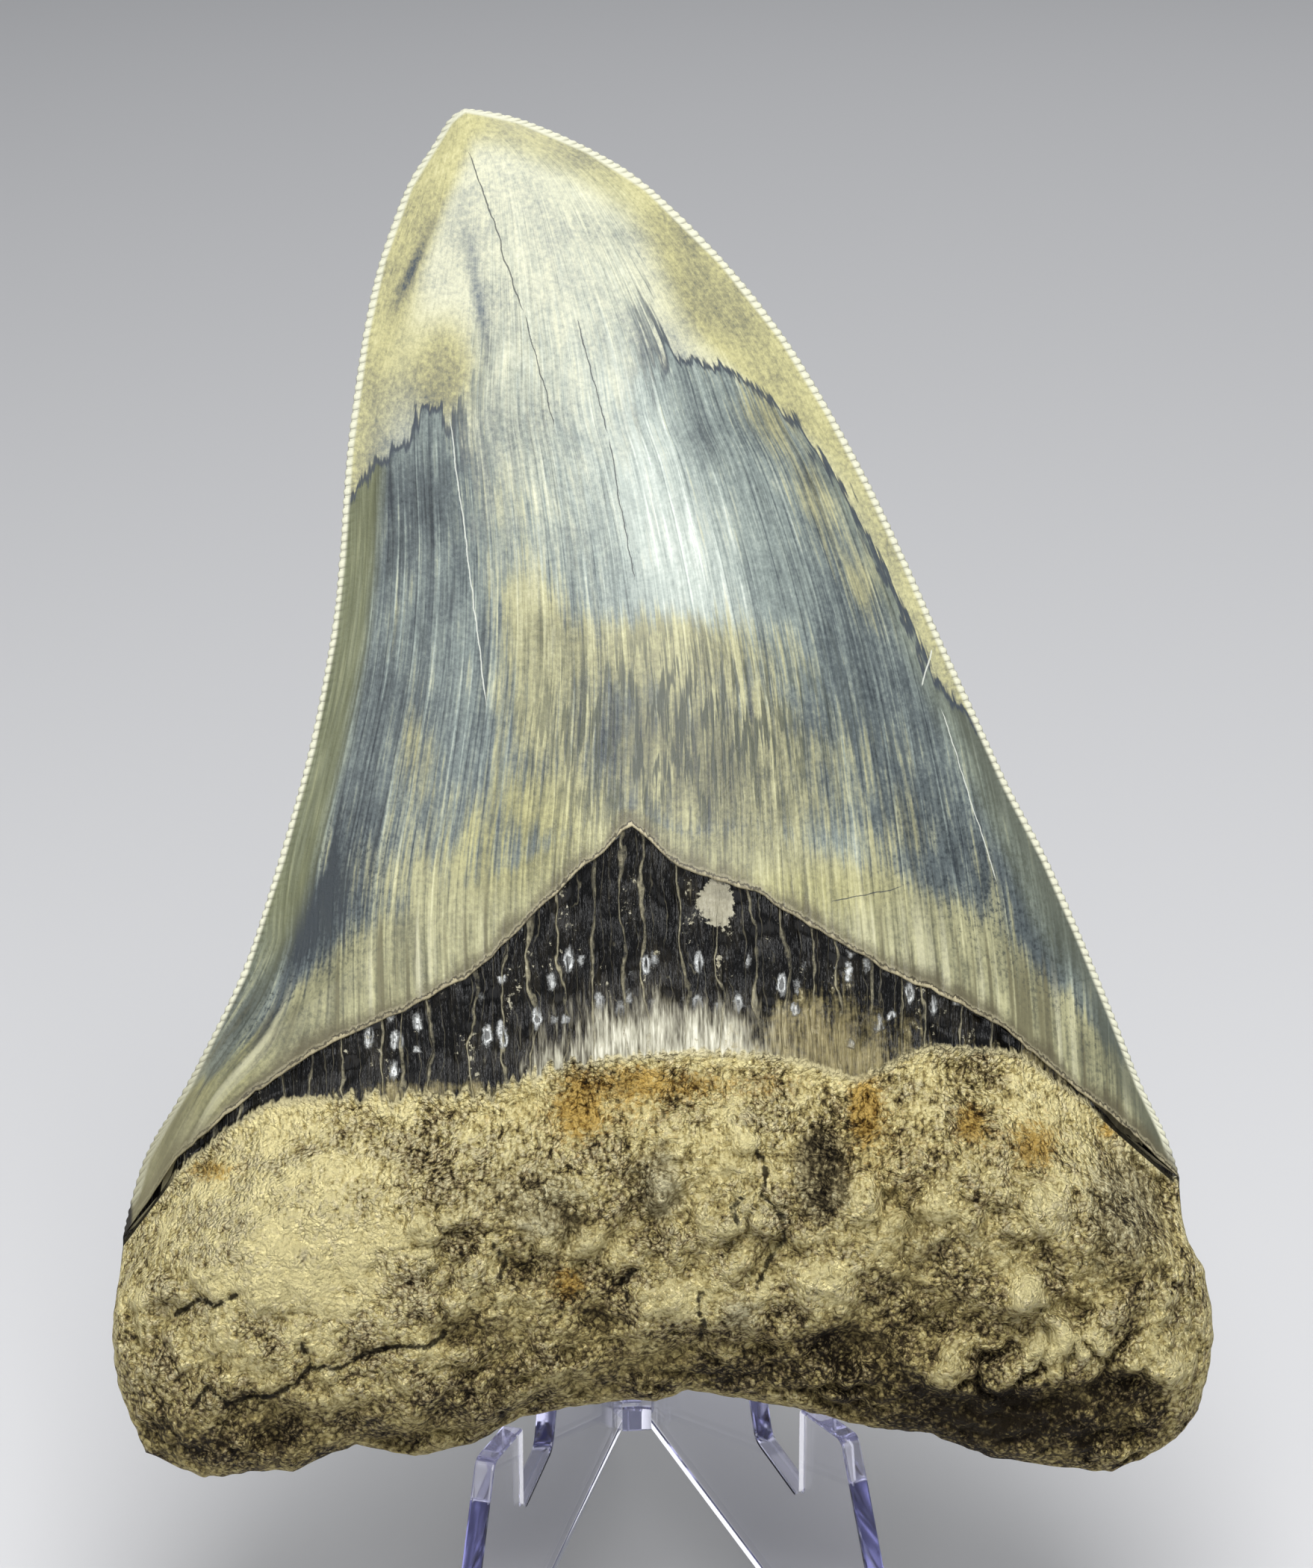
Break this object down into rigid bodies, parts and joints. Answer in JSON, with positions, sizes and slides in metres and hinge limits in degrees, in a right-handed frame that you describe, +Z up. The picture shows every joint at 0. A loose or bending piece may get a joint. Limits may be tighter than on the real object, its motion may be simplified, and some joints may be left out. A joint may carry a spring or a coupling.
{
  "type": "megalodon tooth",
  "caption": "Serrated fossil shark tooth with streaked enamel, a dark chevron and a thick lobed root, leaning upright in a clear notched plastic display stand.",
  "frame": {"origin": "middle of the floor under the tooth and its stand", "axes": "+Z up, +X to the right and -Y towards a viewer who faces the tooth's bulging inner side; the tip leans back towards +Y"},
  "size_m": [0.0921, 0.0815, 0.1318],
  "materials": {
    "tooth": "polished blue-grey and cream enamel, glossy black-brown chevron, rough tan root",
    "stand": "clear, polished, with a faint violet tint at the edges"
  },
  "bodies": {
    "root": {"tooth": "tooth", "stand": "stand"}
  },
  "joints": []
}
